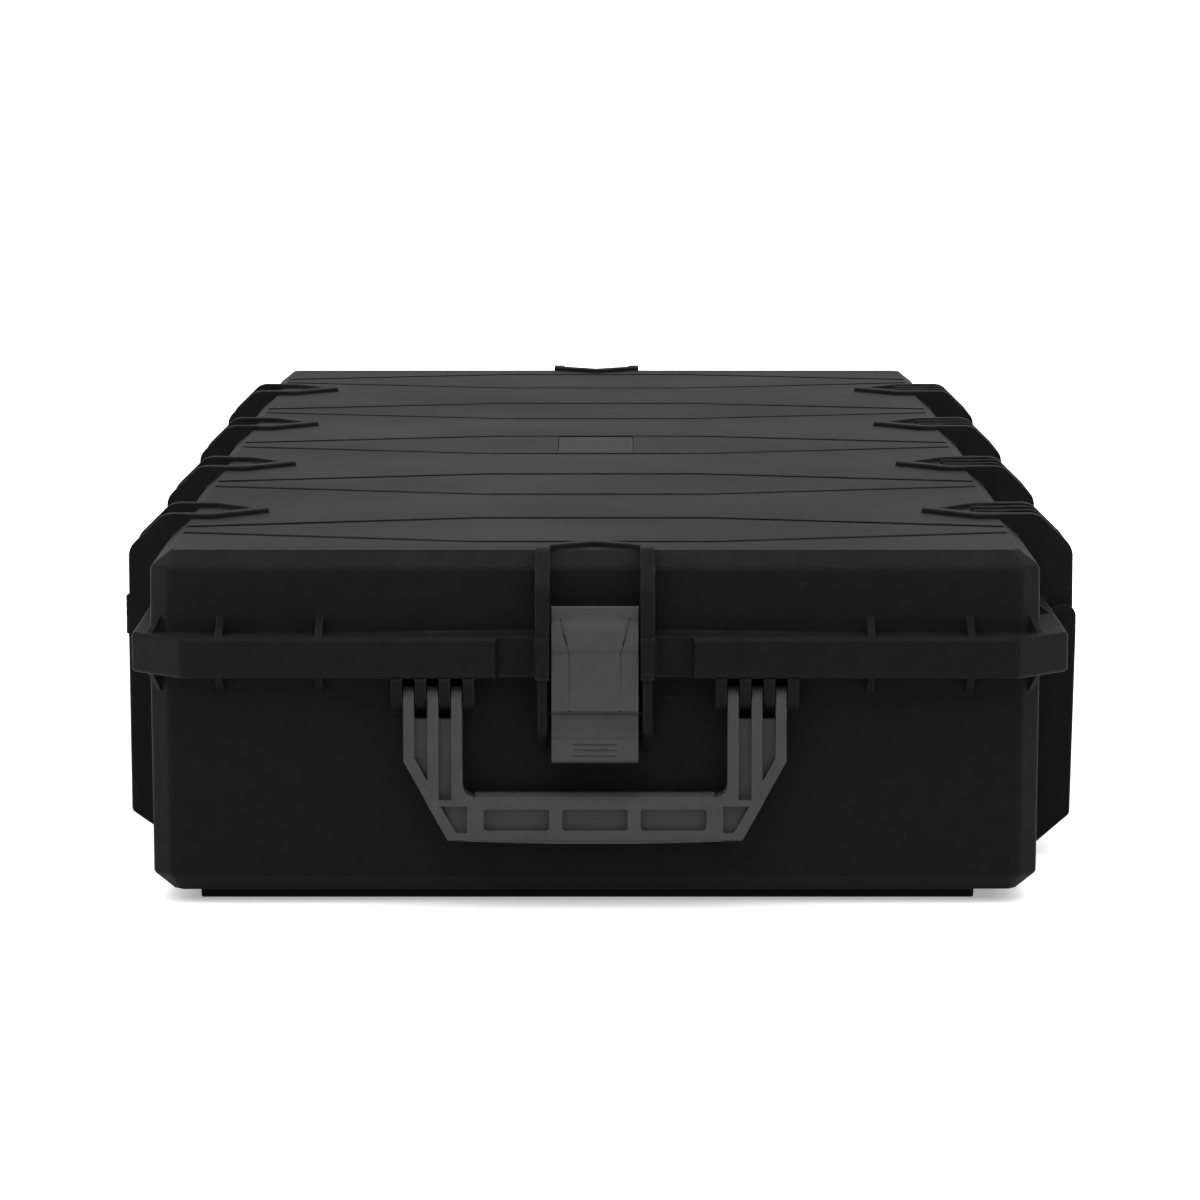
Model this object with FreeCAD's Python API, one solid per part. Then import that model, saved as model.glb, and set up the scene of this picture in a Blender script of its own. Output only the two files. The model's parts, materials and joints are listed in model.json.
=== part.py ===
"""Long transport case: a hinged lid on a deep base, closed by six draw latches.

Millimetres. +Z is up, the front end faces -Y, the latch side faces -X and the hinge side +X.
The origin is on the floor, under the middle of the case.

A bracket, latch or handle is drawn once against the front end and then carried to its station.
There s runs along the wall, t outwards from the wall's outer face, and z up from the floor.
"""
import FreeCAD, Part
import math
import os

# Shells
wall_length = 1062.0
wall_width = 437.0
wall = 4.0
base_height = 118.3
lid_height = 50.7
corner_cut = 9.5
lid_draft_degrees = 0.6
base_draft_degrees = 0.4
lid_chamfer = 10.0
lid_chamfer_drop = 8.0
base_chamfer = 11.0
base_chamfer_rise = 11.5

# Foot rails moulded under the base
foot_height = 6.0
foot_width = 18.0
foot_length = 383.0
foot_shift = 3.8
foot_edge = 2.0
foot_pitch = 251.5

# Rim band round the parting plane, half on each shell
rim_height = 10.95
rim_end_reach = 20.0
rim_latch_reach = 8.7
rim_hinge_reach = 13.4
rim_corner_cut = 26.0
rim_round = 2.2
rim_setback_reach = 12.0
rim_setback_half = 47.0
rim_setback_slant = 8.0

# Gussets above and below the rim
gusset_thickness = 3.4
gusset_rise = 8.4
gusset_fall = 7.4
gusset_edge = 3.0
gusset_pair_spacing = 48.6
end_gusset_centre = 158.9
corner_bay_centre = 432.0

# Seal: a groove in the lid, a tongue on the base, a cord between them
seal_line_offset = 2.0
seal_groove_width = 6.0
seal_groove_depth = 5.0
seal_clearance = 0.2
tongue_width = 3.0
tongue_height = 2.0

# Lid top: hexagonal strips drawn by shallow grooves, and a bare label place
strip_count = 5
strip_pitch = 217.3
strip_half_middle = 54.8
strip_half_side = 15.8
strip_flat_half = 60.0
strip_groove_width = 5.0
strip_groove_depth = 1.6
label_width = 44.0
label_length = 87.0
label_shift = 6.5
label_thickness = 1.2
label_clearance = 0.3
label_sink = 0.3

# Rib pairs of the latch and hinge brackets
rib_pitch = 51.2
lid_rib_thickness = 6.9
base_rib_thickness = 4.9
rib_rise = 3.7
tip_rise = 1.6
lid_rib_reach = 22.4
lid_rib_slope = 18.9
rib_shoulder_round = 4.0
pad_reach = 24.0
base_rib_reach = 21.5
base_rib_lean = 0.7
side_rib_foot = 22.4
side_rib_toe_run = 22.0
side_rib_toe_rise = 16.4
end_rib_foot = 88.4
end_rib_toe = 76.0
side_vee_straight = 12.0
side_vee_run = 26.5
end_vee_straight = 1.0
end_vee_run = 21.5
bracket_pitch = 238.4
side_bracket_count = 4

# Hinges
hinge_reach = 23.0
hinge_height_above_parting = 1.2
hinge_pin_radius = 2.3
hinge_pin_proud = 0.4
hinge_rib_reach = 28.1
hinge_rib_slope = 18.7
hinge_knuckle_radius = 5.2
hinge_inner_rib_thickness = 3.6
hinge_inner_rib_centre = 8.5
hinge_ear_thickness = 4.9
hinge_ear_gap = 0.4
hinge_ear_inner_centre = 15.5
hinge_ear_radius = 5.4
hinge_ear_reach = 29.6
hinge_ear_lean = 1.4
hinge_ear_foot = 25.8
hinge_ear_toe_run = 20.0
hinge_ear_clear = 1.0

# Latches: a one-piece body with hook and lip, on a toggle link
latch_width = 42.2
latch_seat_reach = 9.0
latch_pivot_reach = 10.5
latch_pivot_below_parting = 26.7
latch_pivot_radius = 1.8
latch_pivot_proud = 0.5
toggle_arm = 7.0
toggle_lean_degrees = 10.0
toggle_barrel_radius = 3.9
toggle_pin_radius = 1.6
toggle_knuckle_radius = 3.7
toggle_half_width = 20.4
toggle_tongue_half = 7.0
toggle_side_gap = 0.4
latch_lug_width = 5.0
latch_face_reach = 20.5
latch_thickness = 4.5
latch_bulge = 2.0
latch_lip_proud = 1.0
latch_scoop_depth = 3.0
latch_scoop_wall = 3.0
latch_lip_edge = 1.4
latch_bottom_below_parting = 50.3
latch_lip_height = 11.5
latch_split_below_parting = 25.3
latch_flat_above_parting = 3.4
latch_bulge_above_parting = 11.2
latch_crease_above_parting = 20.2
latch_top_above_parting = 26.1
latch_crown_reach = 17.6
latch_crown_thickness = 3.6
latch_nose_tip_reach = 2.5
latch_nose_thickness = 5.0
latch_nose_root = 6.0
latch_play = 0.7
strike_rise = 1.6
strike_slope_degrees = 6.0
latch_line_width = 0.9
latch_line_depth = 0.6
latch_panel_half = 12.4
latch_panel_flare_half = 16.9
latch_grip_half = 10.5
latch_grip_pitch = 2.8
latch_grip_count = 3
latch_grip_above_bottom = 3.7

# Carrying handles, one on each end
handle_axis_reach = 11.0
handle_axis_below_parting = 19.0
handle_pin_radius = 2.0
handle_pin_proud = 0.3
handle_arm_centre = 79.0
handle_arm_pitch = 11.7
handle_arm_width = 5.4
handle_arm_half_thickness = 5.5
handle_lug_width = 5.4
handle_lug_radius = 5.7
handle_lug_root = 9.3
handle_drop = 69.9
handle_bow = 2.0
handle_bend_drop = 31.0
handle_corner_half = 71.9
handle_grip_drop = 48.7
handle_grip_half_thickness = 7.5
handle_grip_crown = 1.7
handle_grip_round = 3.0
handle_inner_round = 6.0
handle_web_drop = 10.7
handle_web_thickness = 5.0
handle_pocket_depth = 5.0
handle_pocket_floor_drop = 50.2
handle_window_width = 32.0
handle_window_height = 10.6
handle_window_pitch = 38.3
handle_window_drop = 59.7
handle_window_round = 1.6
handle_corner_pocket_top = 53.0
handle_corner_pocket_bottom = 66.2
handle_corner_pocket_inner = 62.5

# Fits and cuts
running_clearance = 0.05
overrun = 2.0

# Levels and half sizes that follow from the values above
half_length = wall_length / 2
half_width = wall_width / 2
bottom_z = foot_height
part_z = bottom_z + base_height
top_z = part_z + lid_height
lid_shoulder_z = top_z - lid_chamfer_drop
base_shoulder_z = bottom_z + base_chamfer_rise
rim_top_z = part_z + rim_height
rim_bottom_z = part_z - rim_height
lid_lean = (lid_shoulder_z - part_z) * math.tan(math.radians(lid_draft_degrees))
base_lean = (part_z - base_shoulder_z) * math.tan(math.radians(base_draft_degrees))
flat_edge = lid_lean + lid_chamfer
corner_share = 2 - math.sqrt(2)
diagonal_share = math.sqrt(2) / 2
rib_half = rib_pitch / 2
hinge_z = part_z + hinge_height_above_parting
pivot_z = part_z - latch_pivot_below_parting
handle_z = part_z - handle_axis_below_parting
toggle_lean = math.radians(toggle_lean_degrees)
toggle_t = latch_pivot_reach - toggle_arm * math.sin(toggle_lean)
toggle_z = pivot_z - toggle_arm * math.cos(toggle_lean)

# Stations: turn about +Z from the front end, then the wall's middle point
FRONT = (0, (0, -half_length))
REAR = (180, (0, half_length))
first_place = -bracket_pitch * (side_bracket_count - 1) / 2
side_places = [first_place + index * bracket_pitch for index in range(side_bracket_count)]
LATCH_SIDE = [(-90, (-half_width, place)) for place in side_places]
HINGE_SIDE = [(90, (half_width, place)) for place in side_places]
ENDS = {"front": FRONT, "rear": REAR}
LATCHES = dict(ENDS)
LATCHES.update({f"side_{number}": station for number, station in enumerate(LATCH_SIDE, 1)})


def side_view(point):
    """A point of a profile seen along the wall: t outwards and z up."""
    return FreeCAD.Vector(0, -point[0], point[1])


def front_view(point):
    """A point of an outline seen from outside: s along the wall and z up."""
    return FreeCAD.Vector(point[0], 0, point[1])


def top_view(point):
    """A point of a plan: s along the wall and t outwards."""
    return FreeCAD.Vector(point[0], -point[1], 0)


def outline(view, start, *steps):
    """A flat face: each step is the next point, or a middle and an end point of an arc."""
    edges = []
    here = view(start)
    for step in list(steps) + [start]:
        if isinstance(step[0], tuple):
            there = view(step[1])
            edges.append(Part.Arc(here, view(step[0]), there).toShape())
        else:
            there = view(step)
            edges.append(Part.LineSegment(here, there).toShape())
        here = there
    return Part.Face(Part.Wire(edges))


def along_wall(profile, low, high):
    """A profile of t and z drawn out along the wall from low to high."""
    moved = profile.translated(FreeCAD.Vector(low, 0, 0))
    return moved.extrude(FreeCAD.Vector(high - low, 0, 0))


def outwards(face, low, high):
    """An outline of s and z drawn out from the wall, from t = low to t = high."""
    moved = face.translated(FreeCAD.Vector(0, -low, 0))
    return moved.extrude(FreeCAD.Vector(0, low - high, 0))


def upwards(face, low, high):
    """A plan of s and t drawn up from z = low to z = high."""
    moved = face.translated(FreeCAD.Vector(0, 0, low))
    return moved.extrude(FreeCAD.Vector(0, 0, high - low))


def block(s_low, s_high, t_low, t_high, z_low, z_high):
    """A rectangular block against the wall."""
    corner = FreeCAD.Vector(s_low, -t_high, z_low)
    return Part.makeBox(s_high - s_low, t_high - t_low, z_high - z_low, corner)


def rod(t, z, radius, s_low, s_high):
    """A round bar along the wall."""
    return Part.makeCylinder(radius, s_high - s_low, FreeCAD.Vector(s_low, -t, z), FreeCAD.Vector(1, 0, 0))


def at_station(shape, station):
    """Carry a shape drawn against the front end to a station."""
    turn, place = station
    moved = shape.copy()
    moved.rotate(FreeCAD.Vector(0, 0, 0), FreeCAD.Vector(0, 0, 1), turn)
    moved.translate(FreeCAD.Vector(place[0], place[1], 0))
    return moved


def at_stations(shape, stations):
    """Copies of one shape at several stations."""
    return [at_station(shape, station) for station in stations]


def mirrored(shapes):
    """The shapes and their mirror images across the middle of the bracket or handle."""
    plane = FreeCAD.Vector(1, 0, 0)
    return shapes + [shape.mirror(FreeCAD.Vector(0, 0, 0), plane) for shape in shapes]


def joined(shapes):
    """One solid of shapes that meet, without the seams between flush faces."""
    return shapes[0].fuse(shapes[1:]).removeSplitter()


def cut_corner_wire(x_low, x_high, y_half, cut, z):
    """A rectangle in plan with its corners cut at 45 degrees."""
    points = [
        (x_low + cut, -y_half), (x_high - cut, -y_half), (x_high, -y_half + cut), (x_high, y_half - cut),
        (x_high - cut, y_half), (x_low + cut, y_half), (x_low, y_half - cut), (x_low, -y_half + cut),
    ]
    vectors = [FreeCAD.Vector(x, y, z) for x, y in points]
    return Part.makePolygon(vectors + vectors[:1])


def wall_wire(inset, z):
    """The wall's outline moved inwards by an inset."""
    cut = corner_cut - inset * corner_share
    return cut_corner_wire(inset - half_width, half_width - inset, half_length - inset, cut, z)


def tapered_block(levels):
    """A solid through wall outlines given as inset and height."""
    return Part.makeLoft([wall_wire(inset, z) for inset, z in levels], True, True)


def wall_ring(offset, width, low, high):
    """A closed ring that follows the wall, centred on a line outside it by an offset."""
    outer = tapered_block([(-offset - width / 2, low), (-offset - width / 2, high)])
    inner = tapered_block([(-offset + width / 2, low), (-offset + width / 2, high)])
    return outer.cut(inner)


def inner_levels(chamfer, rise, lean):
    """Inset where a chamfer's inner face meets the panel, and its height below or above the shoulder."""
    slope = rise / chamfer
    shift = wall * math.hypot(1, slope)
    return lean + (rise - wall + shift) / slope, shift - slope * wall


def lid_form():
    """The lid's outer form without rim and ribs."""
    return tapered_block([(0, part_z), (lid_lean, lid_shoulder_z), (flat_edge, top_z)])


def lid_cavity():
    """The hollow inside the lid."""
    panel_inset, drop = inner_levels(lid_chamfer, lid_chamfer_drop, lid_lean)
    return tapered_block([
        (wall, part_z - overrun), (wall, part_z),
        (wall + lid_lean, lid_shoulder_z - drop), (panel_inset, top_z - wall),
    ])


def base_form():
    """The base's outer form without rim, ribs and feet."""
    return tapered_block([(base_lean + base_chamfer, bottom_z), (base_lean, base_shoulder_z), (0, part_z)])


def base_cavity():
    """The hollow inside the base."""
    panel_inset, rise = inner_levels(base_chamfer, base_chamfer_rise, base_lean)
    return tapered_block([
        (panel_inset, bottom_z + wall), (wall + base_lean, base_shoulder_z + rise), (wall, part_z),
        (wall, part_z + overrun + tongue_height),
    ])


def rim_band(low, high, round_z):
    """Half of the rim band, with the outer edge at one level rounded and a setback by each end latch."""
    wire = cut_corner_wire(-half_width - rim_latch_reach, half_width + rim_hinge_reach,
                           half_length + rim_end_reach, rim_corner_cut, low)
    band = Part.Face(wire).extrude(FreeCAD.Vector(0, 0, high - low))
    level = [edge for edge in band.Edges if all(abs(end.Z - round_z) < overrun for end in edge.Vertexes)]
    band = band.makeFillet(rim_round, level)
    out = rim_end_reach + overrun
    slant = rim_setback_slant / (rim_end_reach - rim_setback_reach)
    flare = rim_setback_half + slant * (out - rim_setback_reach)
    plan = outline(top_view, (-rim_setback_half, rim_setback_reach), (rim_setback_half, rim_setback_reach),
                   (flare, out), (-flare, out))
    setback = upwards(plan, low - overrun, high + overrun)
    seat = block(-rib_half, rib_half, latch_seat_reach, out, low - overrun, high + overrun)
    return band.cut(at_stations(setback, ENDS.values()) + at_stations(seat, ENDS.values()))


def gusset(reach, wall_z, rim_z):
    """A small web between the wall and the rim."""
    edge = reach - gusset_edge
    profile = outline(side_view, (-wall / 2, wall_z), (0, wall_z), (edge, rim_z), (-wall / 2, rim_z))
    return along_wall(profile, -gusset_thickness / 2, gusset_thickness / 2)


def gussets(wall_z, rim_z):
    """All gussets on one side of the rim: on the ends, along both long sides and on the cut corners."""
    pair = (-gusset_pair_spacing / 2, gusset_pair_spacing / 2)
    end_web = gusset(rim_end_reach, wall_z, rim_z)
    webs = []
    for turn, place in ENDS.values():
        for side in (-end_gusset_centre, end_gusset_centre):
            webs += [at_station(end_web, (turn, (side + step, place[1]))) for step in pair]
    bays = [place + bracket_pitch / 2 for place in side_places[:-1]]
    bays += [-corner_bay_centre, corner_bay_centre]
    for turn, side, reach in ((-90, -half_width, rim_latch_reach), (90, half_width, rim_hinge_reach)):
        web = gusset(reach, wall_z, rim_z)
        webs += [at_station(web, (turn, (side, bay + step))) for bay in bays for step in pair]
    corner_web = gusset(rim_latch_reach, wall_z, rim_z)
    for turn, x_sign, y_sign in ((-45, -1, -1), (45, 1, -1), (135, 1, 1), (-135, -1, 1)):
        place = (x_sign * (half_width - corner_cut / 2), y_sign * (half_length - corner_cut / 2))
        webs.append(at_station(corner_web, (turn, place)))
    return webs


def vee_plan(reach, straight, run):
    """Plan of a rib pair that runs in over the lid and closes to a point."""
    outer = rib_half + lid_rib_thickness / 2
    inner = rib_half - lid_rib_thickness / 2
    bend = -flat_edge - straight
    apex = bend - run
    inner_apex = apex + lid_rib_thickness * math.hypot(outer, run) / outer
    inner_bend = inner_apex + run * inner / outer
    return outline(top_view, (-outer, reach), (-outer, bend), (0, apex), (outer, bend), (outer, reach),
                   (inner, reach), (inner, inner_bend), (0, inner_apex), (-inner, inner_bend),
                   (-inner, reach))


def lid_rib_profile(reach, slope, straight, run):
    """Side view of a lid rib: low at its tip, level over the lid's edge, sloping down to the rim."""
    crown = top_z + rib_rise
    bend = -flat_edge - straight
    apex = bend - run
    corner = reach - slope
    leg = rib_shoulder_round
    chord = leg * diagonal_share
    middle = (corner + (chord - leg) / 4, crown - chord / 4)
    return outline(side_view, (apex, top_z - wall / 2), (apex, top_z + tip_rise), (bend, crown),
                   (corner - leg, crown), (middle, (corner + chord, crown - chord)), (reach, crown - slope),
                   (reach, part_z), (-wall / 2, part_z), (-wall / 2 - flat_edge, top_z - wall / 2))


def lid_ribs(reach, slope, straight, run):
    """A rib pair on the lid: its plan taken out of its side view."""
    outer = rib_half + lid_rib_thickness / 2
    sheet = along_wall(lid_rib_profile(reach, slope, straight, run), -outer, outer)
    return sheet.common(upwards(vee_plan(reach, straight, run), part_z, top_z + rib_rise))


def rib_pads(low, high):
    """Thickened ends of the latch ribs where they cross the rim."""
    inner = rib_half - lid_rib_thickness / 2
    return mirrored([block(inner, inner + lid_rib_thickness, -wall / 2, pad_reach, low, high)])


def strike():
    """Ledge between the lid's latch ribs, leaning inwards so that the hook holds on it."""
    fall = latch_seat_reach * math.tan(math.radians(strike_slope_degrees))
    edge_z = rim_top_z + strike_rise
    profile = outline(side_view, (-wall / 2, part_z), (-wall / 2, edge_z - fall), (0, edge_z - fall),
                      (latch_seat_reach, edge_z), (latch_seat_reach, part_z))
    return along_wall(profile, -rib_half, rib_half)


def latch_bracket_on_lid(straight, run):
    """Everything on the lid that belongs to one latch."""
    ribs = lid_ribs(lid_rib_reach, lid_rib_slope, straight, run)
    return joined([ribs, strike()] + rib_pads(part_z, rim_top_z))


def base_rib_profile(foot_z, toe_t, toe_z):
    """Side view of a base rib, from the rim to its foot and in to the wall."""
    foot_t = base_rib_reach - base_rib_lean
    root = -base_lean - wall / 2
    return outline(side_view, (root, part_z), (base_rib_reach, part_z), (base_rib_reach, rim_bottom_z),
                   (foot_t, foot_z), (toe_t, toe_z), (root, toe_z))


def latch_bracket_on_base(profile):
    """The rib pair on the base that carries one latch, bored for its pivot."""
    inner = rib_half - base_rib_thickness / 2
    ribs = mirrored([along_wall(profile, inner, inner + base_rib_thickness)])
    seat = block(-rib_half, rib_half, -wall / 2, latch_seat_reach, rim_bottom_z, part_z)
    bracket = joined([seat] + ribs + rib_pads(rim_bottom_z, part_z))
    return bracket.cut(latch_pivot_rod(latch_pivot_radius + running_clearance, overrun))


def latch_pivot_rod(radius, proud):
    """The round bar across both base ribs of a latch."""
    end = rib_half + base_rib_thickness / 2 + proud
    return rod(latch_pivot_reach, pivot_z, radius, -end, end)


def side_base_bracket():
    """Latch bracket on the long side: its ribs run down to the bottom of the base."""
    toe_t = base_rib_reach - base_rib_lean - side_rib_toe_run
    return latch_bracket_on_base(base_rib_profile(side_rib_foot, toe_t, side_rib_foot - side_rib_toe_rise))


def end_base_bracket():
    """Latch bracket on an end: its ribs stop above the handle's grip."""
    return latch_bracket_on_base(base_rib_profile(end_rib_foot, -base_lean, end_rib_toe))


def hinge_bore(s_half):
    """The hole through a hinge for its pin."""
    return rod(hinge_reach, hinge_z, hinge_pin_radius + running_clearance, -s_half, s_half)


def hinge_ear_outer_centre():
    """Middle of the outer base ears, just outside the lid's ribs."""
    return rib_half + lid_rib_thickness / 2 + hinge_ear_gap + hinge_ear_thickness / 2


def hinge_bracket_on_lid():
    """The lid's half of a hinge: the rib pair and two thin ribs between, rounded about the pin."""
    ribs = [lid_ribs(hinge_rib_reach, hinge_rib_slope, side_vee_straight, side_vee_run)]
    profile = lid_rib_profile(hinge_rib_reach, hinge_rib_slope, 0, side_vee_straight)
    low = hinge_inner_rib_centre - hinge_inner_rib_thickness / 2
    ribs += mirrored([along_wall(profile, low, low + hinge_inner_rib_thickness)])
    outer = rib_half + lid_rib_thickness / 2
    inner = rib_half - lid_rib_thickness / 2
    for start, end in ((inner, outer), (low, low + hinge_inner_rib_thickness)):
        ribs += mirrored([rod(hinge_reach, hinge_z, hinge_knuckle_radius, start, end)])
    trim = block(-outer, outer, hinge_reach - hinge_knuckle_radius, hinge_rib_reach + overrun,
                 part_z - overrun, hinge_z)
    keep = rod(hinge_reach, hinge_z, hinge_knuckle_radius, -outer, outer)
    return joined(ribs).cut(trim.cut(keep))


def hinge_ear_profile():
    """Side view of a base ear: round over the pin, a long rib below it and a sloping foot."""
    radius = hinge_ear_reach - hinge_reach
    lift = hinge_ear_radius
    foot_t = hinge_ear_reach - hinge_ear_lean
    toe_t = foot_t - hinge_ear_toe_run
    root = -base_lean - wall / 2
    inner = rim_hinge_reach + hinge_ear_clear
    toe_z = hinge_ear_foot - hinge_ear_toe_run
    inner_middle = (hinge_reach - (hinge_reach - inner) * diagonal_share, hinge_z + lift * diagonal_share)
    outer_middle = (hinge_reach + radius * diagonal_share, hinge_z + lift * diagonal_share)
    return outline(side_view, (root, part_z), (inner, part_z), (inner, hinge_z),
                   (inner_middle, (hinge_reach, hinge_z + lift)), (outer_middle, (hinge_ear_reach, hinge_z)),
                   (hinge_ear_reach, rim_bottom_z), (foot_t, hinge_ear_foot), (toe_t, toe_z), (root, toe_z))


def hinge_bracket_on_base():
    """The base's half of a hinge: two ears outside the lid's ribs and two between them."""
    profile = hinge_ear_profile()
    half = hinge_ear_thickness / 2
    centres = (hinge_ear_outer_centre(), hinge_ear_inner_centre)
    return mirrored([along_wall(profile, centre - half, centre + half) for centre in centres])


def hinge_pins():
    """One pin through each hinge."""
    end = hinge_ear_outer_centre() + hinge_ear_thickness / 2 + hinge_pin_proud
    return at_stations(rod(hinge_reach, hinge_z, hinge_pin_radius, -end, end), HINGE_SIDE)


def strip_grooves():
    """Shallow grooves that draw the hexagonal strips across the lid."""
    reach = half_width - flat_edge
    steep = (strip_half_middle - strip_half_side) / (reach - strip_flat_half)
    out = reach + overrun
    side = strip_half_side - overrun * steep
    skew = strip_groove_width * math.hypot(1, steep)
    upper = [(-out, side), (-strip_flat_half, strip_half_middle),
             (strip_flat_half, strip_half_middle), (out, side)]
    lower = [(x, y - (strip_groove_width if abs(x) < out else skew)) for x, y in reversed(upper)]
    face = outline(top_view, upper[0], *(upper[1:] + lower))
    groove = upwards(face, top_z - strip_groove_depth, top_z + overrun)
    facing = groove.mirror(FreeCAD.Vector(0, 0, 0), FreeCAD.Vector(0, 1, 0))
    cuts = []
    for index in range(strip_count):
        step = FreeCAD.Vector(0, (index - (strip_count - 1) / 2) * strip_pitch, 0)
        cuts += [groove.translated(step), facing.translated(step)]
    clip = tapered_block([(flat_edge, top_z - strip_groove_depth), (flat_edge, top_z + overrun)])
    return [clip.common(cut) for cut in cuts]


def label_block(clearance, low, high):
    """The bare label place in the middle of the lid."""
    half_x = label_width / 2 + clearance
    half_y = label_length / 2 + clearance
    corner = FreeCAD.Vector(-half_x, label_shift - half_y, low)
    return Part.makeBox(2 * half_x, 2 * half_y, high - low, corner)


def lid_shell():
    """The moulded lid."""
    pieces = [rim_band(part_z, rim_top_z, rim_top_z)]
    pieces += at_stations(latch_bracket_on_lid(end_vee_straight, end_vee_run), ENDS.values())
    pieces += at_stations(latch_bracket_on_lid(side_vee_straight, side_vee_run), LATCH_SIDE)
    pieces += at_stations(hinge_bracket_on_lid(), HINGE_SIDE)
    pieces += gussets(rim_top_z + gusset_rise, rim_top_z)
    body = lid_form().cut(strip_grooves()).fuse(pieces)
    groove = wall_ring(seal_line_offset, seal_groove_width, part_z - overrun, part_z + seal_groove_depth)
    floor = top_z - label_sink - label_thickness
    cuts = [lid_cavity(), groove, label_block(label_clearance, floor, top_z + overrun)]
    cuts += at_stations(hinge_bore(rib_pitch), HINGE_SIDE)
    return body.cut(cuts).removeSplitter()


def lid_label():
    """The bare plate in the label place."""
    return label_block(0, top_z - label_sink - label_thickness, top_z - label_sink)


def lid_seal():
    """The seal cord in the lid's groove, above the base's tongue."""
    return wall_ring(seal_line_offset, seal_groove_width - 2 * seal_clearance,
                     part_z + tongue_height, part_z + seal_groove_depth)


def foot_rails():
    """Cross rails under the base, as many as its floor takes, with their lower edges taken off."""
    half = foot_width / 2
    start = -foot_length / 2 - foot_shift
    profile = outline(side_view, (-half, bottom_z + wall / 2), (-half, foot_edge), (foot_edge - half, 0),
                      (half - foot_edge, 0), (half, foot_edge), (half, bottom_z + wall / 2))
    rail = along_wall(profile, start, start + foot_length)
    pairs = int((half_length - base_lean - base_chamfer - half) / foot_pitch)
    steps = range(-pairs, pairs + 1)
    return [rail.translated(FreeCAD.Vector(0, step * foot_pitch, 0)) for step in steps]


def handle_lug_centres():
    """Middles of the lugs on one side of a handle: one either side of each arm."""
    half = handle_arm_pitch / 2
    return [handle_arm_centre + step * half for step in (-3, -1, 1, 3)]


def handle_lugs():
    """Lugs under the rim that carry one handle, bored for its pins."""
    low = handle_z - handle_lug_radius
    side = handle_axis_reach + handle_lug_radius
    root = -base_lean - wall / 2
    root_z = handle_z - handle_lug_root
    swing = handle_lug_radius * diagonal_share
    middle = (handle_axis_reach + swing, handle_z - swing)
    profile = outline(side_view, (root, rim_bottom_z), (rim_end_reach, rim_bottom_z), (side, handle_z),
                      (middle, (handle_axis_reach, low)), (0, root_z), (root, root_z))
    half = handle_lug_width / 2
    lugs = mirrored([along_wall(profile, centre - half, centre + half) for centre in handle_lug_centres()])
    bores = handle_pin_rods(handle_pin_radius + running_clearance, overrun)
    return [lug.cut(bores) for lug in lugs]


def handle_pin_rods(radius, proud):
    """The two round bars that carry one handle."""
    centres = handle_lug_centres()
    low = centres[0] - handle_lug_width / 2 - proud
    high = centres[-1] + handle_lug_width / 2 + proud
    return mirrored([rod(handle_axis_reach, handle_z, radius, low, high)])


def base_shell():
    """The moulded base."""
    pieces = [rim_band(rim_bottom_z, part_z, rim_bottom_z)]
    pieces += at_stations(end_base_bracket(), ENDS.values())
    pieces += at_stations(side_base_bracket(), LATCH_SIDE)
    for ear in hinge_bracket_on_base():
        pieces += at_stations(ear, HINGE_SIDE)
    for lug in handle_lugs():
        pieces += at_stations(lug, ENDS.values())
    pieces += gussets(rim_bottom_z - gusset_fall, rim_bottom_z)
    pieces += foot_rails()
    pieces.append(wall_ring(seal_line_offset, tongue_width, part_z - overrun, part_z + tongue_height))
    body = base_form().fuse(pieces)
    bores = at_stations(hinge_bore(rib_pitch), HINGE_SIDE)
    return body.cut([base_cavity()] + bores).removeSplitter()


def latch_profile():
    """Side view of a latch body: lip, scoop, flat face, bulge, crown, hook and back."""
    face = latch_face_reach
    back = face - latch_thickness
    bottom = part_z - latch_bottom_below_parting
    lip_top = bottom + latch_lip_height
    split = part_z - latch_split_below_parting
    scoop_z = (lip_top + split) / 2
    flat_top = part_z + latch_flat_above_parting
    bulge_z = part_z + latch_bulge_above_parting
    crease = part_z + latch_crease_above_parting
    top = part_z + latch_top_above_parting
    lip = face + latch_lip_proud
    scoop = face - latch_scoop_depth
    crown = latch_crown_reach
    crown_back = crown - latch_crown_thickness
    nose_low = rim_top_z + strike_rise + latch_play
    fall = (latch_seat_reach - latch_nose_tip_reach) * math.tan(math.radians(strike_slope_degrees))
    nose_end = crown_back - latch_crown_thickness
    tip = latch_nose_tip_reach
    tip_low = nose_low - fall
    return outline(
        side_view, (back, bottom), (lip - latch_lip_edge, bottom), (lip, bottom + latch_lip_edge),
        (lip, lip_top), ((scoop, scoop_z), (face, split)), (face, flat_top),
        ((face + latch_bulge, bulge_z), (crown, crease)), (crown, top), (crown_back, top),
        (crown_back, nose_low + latch_nose_thickness), (tip, tip_low + latch_nose_thickness), (tip, tip_low),
        (latch_seat_reach, nose_low), (nose_end, nose_low), (back, nose_low - latch_nose_root),
        (back, split), (scoop - latch_scoop_wall, scoop_z), (back, lip_top))


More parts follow.
